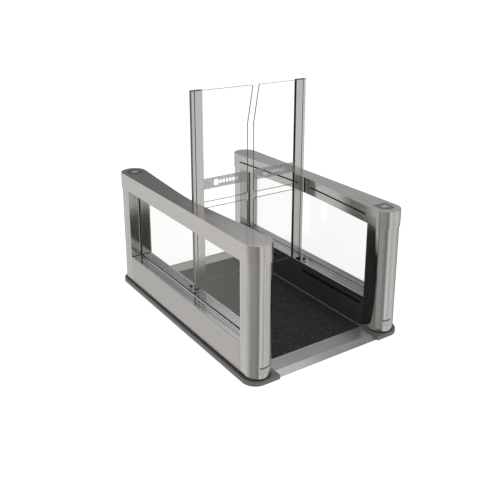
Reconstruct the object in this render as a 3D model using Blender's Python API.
"""Speed gate with two swinging glass leaves between two low cabinets.

Frame: X across the walkway, Y along it (entry end at -Y), Z up, floor at Z = 0. All lengths in metres.
"""

import math

import bmesh
import bpy

for ob in list(bpy.data.objects):
    bpy.data.objects.remove(ob, do_unlink=True)

G = 0.0003            # working gap between two pieces that touch in the real machine

# ---- cabinet outline (right-hand cabinet, mirrored or turned for the left one) ----
XC = 0.570            # centre of the rounded cabinet ends
YC = 0.925
R_COVER = 0.105       # cover radius at the ends
R_COL = 0.099         # column radius, one step inside the cover skirt
X_WAIST = 0.532       # walkway face of the cover at mid length
Z_TOP = 1.000
Z_SKIRT = 0.868
Z_SILL = 0.270
Z_PLINTH = 0.033
Y_READER = 0.830      # window edge at the reader end
Y_PLAIN = 0.872       # window edge at the other end
T = 0.003             # sheet thickness

# ---- leaf ----
X_AXIS = 0.498
Z_LEAF0 = 0.300
Z_LEAF1 = 1.815

# ---- floor ----
Z_MAT = 0.018
Y_MAT = 0.832
Y_PLATE = 0.962
Y_NOSE = 1.022
X_RAMP = 0.4515


def recalc(me):
    bm = bmesh.new()
    bm.from_mesh(me)
    bmesh.ops.recalc_face_normals(bm, faces=bm.faces)
    if bm.calc_volume(signed=True) < 0:
        bmesh.ops.reverse_faces(bm, faces=bm.faces)
    bm.to_mesh(me)
    bm.free()


def add(name, verts, faces, cutter=False):
    me = bpy.data.meshes.new(name)
    me.from_pydata([tuple(v) for v in verts], [], faces)
    me.validate()
    recalc(me)
    ob = bpy.data.objects.new(name, me)
    bpy.context.collection.objects.link(ob)
    if cutter:
        ob.hide_render = True
        ob.display_type = "WIRE"
    return ob


def stack(name, loops, cutter=False):
    """Closed body through loops of equal length; each loop is a list of 3-D points, first and last are capped."""
    n = len(loops[0])
    verts = [p for lp in loops for p in lp]
    faces = [list(range(n))[::-1]]
    for k in range(len(loops) - 1):
        a, b = k * n, (k + 1) * n
        for i in range(n):
            j = (i + 1) % n
            faces.append([a + i, a + j, b + j, b + i])
    faces.append([(len(loops) - 1) * n + i for i in range(n)])
    return add(name, verts, faces, cutter)


def at_z(pts, z):
    return [(x, y, z) for x, y in pts]


def prism(name, pts, z0, z1, cutter=False, edge=0.0):
    """Upright prism; `edge` rounds the top rim a little."""
    if edge:
        return stack(name, [at_z(pts, z0), at_z(pts, z1 - edge), at_z(inset(pts, edge * 0.3), z1 - edge * 0.3),
                            at_z(inset(pts, edge), z1)], cutter)
    return stack(name, [at_z(pts, z0), at_z(pts, z1)], cutter)


def ring(name, outer, inner, z0, z1):
    """Open tube between two outlines with the same number of points."""
    n = len(outer)
    loops = [at_z(outer, z0), at_z(outer, z1), at_z(inner, z1), at_z(inner, z0)]
    verts = [p for lp in loops for p in lp]
    faces = []
    for k in range(4):
        a, b = k * n, ((k + 1) % 4) * n
        for i in range(n):
            j = (i + 1) % n
            faces.append([a + i, a + j, b + j, b + i])
    return add(name, verts, faces)


def box(name, x0, x1, y0, y1, z0, z1, cutter=False, edge=0.0):
    return prism(name, [(x0, y0), (x1, y0), (x1, y1), (x0, y1)], z0, z1, cutter, edge)


def along_y(name, pts, y0, y1, cutter=False):
    """Prism whose section lies in XZ."""
    return stack(name, [[(x, y0, z) for x, z in pts], [(x, y1, z) for x, z in pts]], cutter)


def along_x(name, pts, x0, x1):
    """Prism whose section lies in YZ."""
    return stack(name, [[(x0, y, z) for y, z in pts], [(x1, y, z) for y, z in pts]])


def cylinder(name, cx, cy, r, z0, z1, n=32, cutter=False):
    return prism(name, [(cx + r * math.cos(2 * math.pi * i / n), cy + r * math.sin(2 * math.pi * i / n))
                        for i in range(n)], z0, z1, cutter)


def area(pts):
    return 0.5 * sum(a[0] * b[1] - b[0] * a[1] for a, b in zip(pts, pts[1:] + pts[:1]))


def inset(pts, d):
    """Moves an outline inwards by d along the mean normal of each corner."""
    s = 1.0 if area(pts) > 0 else -1.0
    out = []
    n = len(pts)
    for i in range(n):
        a, b, c = pts[i - 1], pts[i], pts[(i + 1) % n]
        u = (b[0] - a[0], b[1] - a[1])
        v = (c[0] - b[0], c[1] - b[1])
        lu, lv = math.hypot(*u), math.hypot(*v)
        n1 = (-u[1] / lu * s, u[0] / lu * s)
        n2 = (-v[1] / lv * s, v[0] / lv * s)
        k = 1.0 + n1[0] * n2[0] + n1[1] * n2[1]
        out.append((b[0] + d * (n1[0] + n2[0]) / k, b[1] + d * (n1[1] + n2[1]) / k))
    return out


def arc(cx, cy, r, a0, a1, n):
    return [(cx + r * math.cos(math.radians(a0 + (a1 - a0) * i / n)),
             cy + r * math.sin(math.radians(a0 + (a1 - a0) * i / n))) for i in range(n + 1)]


def cut(ob, cutter):
    m = ob.modifiers.new("cut_" + cutter.name[:20], "BOOLEAN")
    m.operation = "DIFFERENCE"
    m.solver = "EXACT"
    m.object = cutter


def waist_x(y):
    """Walkway face of the cover: a soft V, narrowest at mid length."""
    return X_WAIST - (math.sqrt(0.015 ** 2 + (0.0872 * y) ** 2) - 0.015)


def cover_outline():
    pts = arc(XC, YC, R_COVER, 0, 180, 26)                   # exit end, outer side to walkway side
    ys = [0.86, 0.74, 0.62, 0.50, 0.40, 0.31, 0.23, 0.16, 0.10, 0.05, 0.0]
    pts += [(waist_x(y), y) for y in ys] + [(waist_x(y), -y) for y in ys[-2::-1]]
    pts += arc(XC, -YC, R_COVER, 180, 360, 26)
    return pts


def column_outline(y_win):
    """Exit-end column, window edge at y_win."""
    inner = [(waist_x(y) + R_COVER - R_COL, y) for y in (0.5 * (YC + y_win), y_win)]
    return arc(XC, YC, R_COL, 0, 180, 26) + inner + [(XC + R_COL, y_win)]


def d_shape(y0, yc, r, n=18):
    return arc(XC, yc, r, 0, 180, n) + [(XC - r, y0), (XC + r, y0)]


# Place of each cabinet: the right one has its reader at the entry end, the left one is the same unit turned half round.
def turn(pts, side):
    """Outline points of a unit drawn for the left cabinet's hand (reader at +Y, on the +X side) to where it stands."""
    if side == "right":
        return [(x, -y) for x, y in pts]      # reader end to -Y
    return [(-x, y) for x, y in pts]          # reader end to +Y


SGN = {"left": -1.0, "right": 1.0}


def sx(side, a, b):
    """X range of a piece on that side."""
    s = SGN[side]
    return (min(s * a, s * b), max(s * a, s * b))


def sy(side, a, b):
    """Y range; the unit is drawn with its reader at +Y."""
    return (a, b) if side == "left" else (-b, -a)


def cabinet(side):
    s = SGN[side]
    ax = s * X_AXIS
    # plinth
    plan = arc(0.585, 0.932, 0.105, 0, 90, 14) + [(0.452, 1.037), (0.452, 0.8305), (0.4865, 0.8305)]
    plan += [(0.4865, -0.8725), (0.452, -0.8725), (0.452, -1.037)] + arc(0.585, -0.932, 0.105, 270, 360, 14)
    plinth = prism(side + "_plinth", turn(plan, side), 0.0, Z_PLINTH, edge=0.003)
    # columns
    for end, yw, flip in (("reader", Y_READER, 1.0), ("plain", Y_PLAIN, -1.0)):
        out = column_outline(yw)
        inn = inset(out, T)
        out = turn([(x, y * flip) for x, y in out], side)
        inn = turn([(x, y * flip) for x, y in inn], side)
        at_exit = (side == "left") == (end == "reader")
        name = side + "_column_" + ("exit" if at_exit else "entry")
        col = ring(name, out, inn, Z_PLINTH + G, Z_TOP - T - 0.004)
        x0, x1 = sx(side, 0.5705, 0.5835)
        yj = yw * (1 if at_exit else -1)
        slot = box(name + "_glass_slot", x0, x1, yj - 0.02, yj + 0.02, Z_SILL - 0.018, Z_SKIRT + 0.010, cutter=True)
        cut(col, slot)
    # top cover: plate and skirt in one, open below
    o = turn(cover_outline(), side)
    i1 = inset(o, T)
    cover = stack(side + "_top_cover", [
        at_z(i1, Z_TOP - T), at_z(i1, Z_SKIRT + 0.0008), at_z(inset(o, T * 0.6), Z_SKIRT), at_z(inset(o, 0.0006), Z_SKIRT),
        at_z(o, Z_SKIRT + 0.0008), at_z(o, Z_TOP - 0.0030),
        at_z(inset(o, 0.0004), Z_TOP - 0.0017), at_z(inset(o, 0.0014), Z_TOP - 0.0005), at_z(inset(o, 0.0030), Z_TOP)])
    # reader window, let into the cover
    dsh = d_shape(0.845, 0.915, 0.059)
    hole = prism(side + "_reader_hole", turn(dsh, side), Z_TOP - 0.02, Z_TOP + 0.02, cutter=True)
    cut(cover, hole)
    prism(side + "_reader_window", turn(inset(dsh, G), side), Z_TOP - T, Z_TOP + 0.0006, edge=0.0006)
    x0, x1 = sx(side, 0.530, 0.610)
    y0, y1 = sy(side, 0.852, 0.945)
    box(side + "_reader_module", x0, x1, y0, y1, Z_TOP - 0.030, Z_TOP - T - G)
    # beam sensor strips in the walkway face of the cover
    for tag, ya, yb in (("exit", 0.100, 0.873), ("entry", -0.812, -0.092)):
        n = 12
        ys = [ya + (yb - ya) * i / n for i in range(n + 1)]
        wall = [(s * (waist_x(y) + T * 0.5), y) for y in ys]
        ends = 0.012

        def ribbon(nm, half, z0, z1, grow, cutter=False):
            yy = [ys[0] - grow] + ys[1:-1] + [ys[-1] + grow]
            a = [(s * (waist_x(y) + T * 0.5 - half), y) for y in yy]
            b = [(s * (waist_x(y) + T * 0.5 + half), y) for y in yy]
            return prism(nm, a + b[::-1], z0, z1, cutter)

        slot = ribbon(side + "_slot_" + tag, 0.012, 0.9255, 0.9385, 0.0, cutter=True)
        cut(cover, slot)
        ribbon(side + "_sensor_strip_" + tag, 0.0011, 0.9255 + G, 0.9385 - G, -G)
    # top rail: channel under the cover that carries it and closes the window head
    y0, y1 = -Y_PLAIN + G, Y_READER - G
    ys = [y0, -0.70, -0.52, -0.36, -0.24, -0.14, -0.06, 0.0, 0.06, 0.14, 0.24, 0.36, 0.52, 0.70, y1]
    inner = [(waist_x(y) + T + 0.0008, y) for y in ys]
    outer = [(XC + R_COVER - T - 0.0008, y) for y in ys]
    plan_o = inner + outer[::-1]
    lip = 0.0025
    inner2 = [(x + lip, y) for x, y in inner]
    outer2 = [(x - lip, y) for x, y in outer]

    def flip(pts):
        return turn(pts, side)
    n = len(plan_o)
    rail = prism(side + "_top_rail", flip(plan_o), Z_SKIRT + 0.002, Z_SKIRT + 0.040)
    trough = prism(side + "_top_rail_trough", flip([(x, y * 1.2) for x, y in inner2] + [(x, y * 1.2) for x, y in outer2[::-1]]),
                   Z_SKIRT + 0.0045, Z_SKIRT + 0.08, cutter=True)
    cut(rail, trough)
    x0, x1 = sx(side, 0.5705, 0.5835)
    cut(rail, box(side + "_top_rail_slot", x0, x1, *sy(side, -Y_PLAIN + 0.012, Y_READER - 0.012),
                  Z_SKIRT - 0.02, Z_SKIRT + 0.02, cutter=True))
    # lower case: sill, outer panel, walkway panel
    yy0, yy1 = sy(side, -Y_PLAIN + G, Y_READER - G)
    prof = [(0.4795, 0.240), (0.4825, 0.240), (0.4825, 0.2665), (0.6625, 0.2665), (0.6625, 0.245), (0.6655, 0.245),
            (0.6655, 0.2685), (0.6640, Z_SILL), (0.4815, Z_SILL), (0.4795, 0.2682)]
    sill = along_y(side + "_sill", [(s * x, z) for x, z in prof], yy0, yy1)
    # glass channel let into the sill, in two lengths' worth of one groove cut short of the ends
    groove = box(side + "_sill_groove", *sx(side, 0.5705, 0.5835), *sy(side, -Y_PLAIN + 0.012, Y_READER - 0.012),
                 Z_SILL - 0.02, Z_SILL + 0.02, cutter=True)
    cut(sill, groove)
    cut(sill, cylinder(side + "_sill_bore", ax, 0.0, 0.0145, Z_SILL - 0.02, Z_SILL + 0.02, cutter=True))
    gy0, gy1 = sy(side, -Y_PLAIN + 0.0125, Y_READER - 0.0125)
    cprof = [(0.5709, 0.2500), (0.5831, 0.2500), (0.5831, 0.2700), (0.5806, 0.2700), (0.5806, 0.2525), (0.5734, 0.2525),
             (0.5734, 0.2700), (0.5709, 0.2700)]
    along_y(side + "_glazing_channel", [(s * x, z) for x, z in cprof], gy0, gy1)
    # window glass held in the column slots, the channel and the rail slot
    wy0, wy1 = sy(side, -Y_PLAIN - 0.006, Y_READER + 0.006)
    x0, x1 = sx(side, 0.5740, 0.5800)
    e = 0.020
    wgl = [(wy0 + e, 0.2530), (wy1 - e, 0.2530), (wy1 - e, 0.2705), (wy1, 0.2705), (wy1, 0.8690), (wy1 - e, 0.8690),
           (wy1 - e, 0.8760), (wy0 + e, 0.8760), (wy0 + e, 0.8690), (wy0, 0.8690), (wy0, 0.2705), (wy0 + e, 0.2705)]
    along_x(side + "_window_glass", wgl, x0, x1)
    # outer panel with a folded top edge
    pprof = [(0.6660, Z_PLINTH + G), (0.6690, Z_PLINTH + G), (0.6690, 0.2672), (0.6680, 0.2682), (0.6660, 0.2682)]
    along_y(side + "_outer_panel", [(s * x, z) for x, z in pprof], yy0 + 0.001, yy1 - 0.001)
    # black walkway panel with the low sensor slot
    iprof = [(0.4795, Z_MAT + 0.0010), (0.4825, Z_MAT + 0.0010), (0.4825, 0.2397), (0.4795, 0.2397)]
    panel = along_y(side + "_walkway_panel", [(s * x, z) for x, z in iprof], yy0 + 0.001, yy1 - 0.001)
    cut(panel, box(side + "_low_slot", *sx(side, 0.46, 0.50), -0.800, 0.800, 0.1970, 0.2090, cutter=True))
    box(side + "_low_sensor_strip", *sx(side, 0.4801, 0.4832), -0.800 + G, 0.800 - G, 0.1970 + G, 0.2090 - G)
    # pivot foot: oblong plate and bearing boss in one, bored for the shaft
    n = 18
    ob_r = 0.033
    plan = arc(0.505, 0.030, ob_r, 0, 180, n) + arc(0.505, -0.030, ob_r, 180, 360, n)
    plan = [(x + 0.010, y) for x, y in plan]
    foot = stack(side + "_pivot_foot", [at_z([(s * x, y) for x, y in plan], Z_SILL + G),
                                        at_z([(s * x, y) for x, y in plan], Z_SILL + 0.0065),
                                        at_z([(s * x, y) for x, y in inset(plan, 0.0015)], Z_SILL + 0.008)])
    cut(foot, cylinder(side + "_foot_bore", ax, 0.0, 0.0145, Z_SILL - 0.02, Z_SILL + 0.05, cutter=True))
    # bearing collar above the foot
    n = 32
    ro = [(ax + 0.0225 * math.cos(2 * math.pi * i / n), 0.0225 * math.sin(2 * math.pi * i / n)) for i in range(n)]
    ri = [(ax + 0.0135 * math.cos(2 * math.pi * i / n), 0.0135 * math.sin(2 * math.pi * i / n)) for i in range(n)]
    ring(side + "_bearing_collar", ro, ri, Z_SILL + 0.008 + G, Z_LEAF0 - 0.004)
    # gearbox and motor inside the lower case
    gb = box(side + "_gearbox", *sx(side, 0.4840, 0.6000), -0.055, 0.055, 0.0700, 0.1900)
    cut(gb, cylinder(side + "_gearbox_bore", ax, 0.0, 0.0124, 0.10, 0.25, cutter=True))
    n = 28
    mot = [(s * 0.560 + 0.040 * math.cos(2 * math.pi * i / n), 0.130 + 0.040 * math.sin(2 * math.pi * i / n)) for i in range(n)]
    along_y(side + "_motor", mot, *sy(side, 0.0553, 0.2400))


def leaf(side, x_low, x_top, z_bend):
    """x_low / x_top: meeting edge of the glass below the bend and at the top, in world X."""
    s = SGN[side]
    t = side + "_leaf_"

    def m(pts):
        return [(s * x, y) for x, y in pts]
    h = 0.015
    clamp = [(0.427, 0.0105), (0.447, 0.0105), (0.447, -0.0105), (0.427, -0.0105), (0.427, -0.0138), (0.4282, -h),
             (0.4893, -h), (0.4905, -0.0138), (0.4905, -0.0085), (0.4575, -0.0085), (0.4575, 0.0085), (0.4905, 0.0085),
             (0.4905, 0.0138), (0.4893, h), (0.4282, h), (0.427, 0.0138)]
    prism(t + "clamp_profile", m(clamp), Z_LEAF0, Z_LEAF1)
    hinge = [(0.4955, 0.0085), (0.5155, 0.0085), (0.5155, -0.0085), (0.4955, -0.0085), (0.4955, -0.0138), (0.4967, -h),
             (0.517, -h), (0.520, -0.012), (0.520, 0.012), (0.517, h), (0.4967, h), (0.4955, 0.0138)]
    prism(t + "hinge_profile", m(hinge), Z_LEAF0, Z_LEAF1)
    box(t + "core", *sx(side, 0.4580, 0.5150), -0.0082, 0.0082, Z_LEAF0, Z_LEAF1)
    gask = [(0.4285, 0.0101), (0.4466, 0.0101), (0.4466, -0.0101), (0.4285, -0.0101), (0.4285, -0.0053), (0.4443, -0.0053),
            (0.4443, 0.0053), (0.4285, 0.0053)]
    prism(t + "glass_gasket", m(gask), Z_LEAF0 + 0.001, Z_LEAF1 - 0.001)
    xp = s * 0.4440                                 # glass edge inside the gasket
    d = 1.0 if x_low > xp else -1.0                 # direction from post to meeting edge

    def pane(name, pts):
        stack(name, [[(x, -0.005, z) for x, z in pts], [(x, 0.005, z) for x, z in pts]])
    r = 0.030
    z0, z1 = 0.9600, 1.8140
    up = [(xp, z0), (xp, z1)]
    rt = 0.006
    up += [(x_top - d * rt, z1), (x_top, z1 - rt)]
    up += [(x_low + (x_top - x_low) * 0.02, z_bend + 0.010), (x_low, z_bend - 0.010)]
    up += [(x_low - d * r + d * r * math.cos(a), z0 + r - r * math.sin(a))
           for a in [math.radians(90 * i / 8) for i in range(9)]]
    pane(t + "upper_glass", up)
    z0, z1 = 0.3100, 0.9130
    lo = [(xp, z0), (xp, z1)]
    lo += [(x_low - d * r + d * r * math.sin(a), z1 - r + r * math.cos(a))
           for a in [math.radians(90 * i / 8) for i in range(9)]]
    rb = 0.012
    lo += [(x_low, z0 + rb), (x_low - d * rb * 0.3, z0 + rb * 0.3), (x_low - d * rb, z0)]
    pane(t + "lower_glass", lo)
    cap = [(0.4275, -0.0145), (0.5195, -0.0145), (0.5195, 0.0145), (0.4275, 0.0145)]
    prism(t + "end_cap", m(cap), Z_LEAF1 + G, Z_LEAF1 + 0.0055, edge=0.001)
    cylinder(t + "shaft", s * X_AXIS, 0.0, 0.0120, 0.1200, Z_LEAF0 - G)


for side in ("left", "right"):
    cabinet(side)

# electronics, one unit in each lower case
box("left_controller", -0.655, -0.500, -0.620, -0.360, 0.060, 0.180)
box("right_power_supply", 0.500, 0.655, 0.380, 0.600, 0.060, 0.160)

leaf("left", -0.0255, 0.0230, 1.5160)
leaf("right", 0.0280, 0.0780, 1.5130)

# floor: base plate with a raised rim each side, mat, threshold plates and sloping nosings
rim = [(-0.4790, 0.0), (0.4790, 0.0), (0.4790, 0.0185), (0.4740, 0.0185), (0.4740, 0.0110), (-0.4740, 0.0110),
       (-0.4740, 0.0185), (-0.4790, 0.0185)]
along_y("floor_base_plate", rim, -0.829, 0.829)
box("floor_mat", -0.4737, 0.4737, -0.829, 0.829, 0.0113, Z_MAT, edge=0.0005)
for tag, d in (("entry", -1.0), ("exit", 1.0)):
    sec = [(0.8295 * d, 0.0), (0.8295 * d, 0.0180), (0.8300 * d, 0.0186), (0.9610 * d, 0.0186), (0.9622 * d, 0.0184),
           ((Y_NOSE - 0.001) * d, 0.0022), (Y_NOSE * d, 0.0012), (Y_NOSE * d, 0.0)]
    along_x("ramp_" + tag, sec, -X_RAMP, X_RAMP)
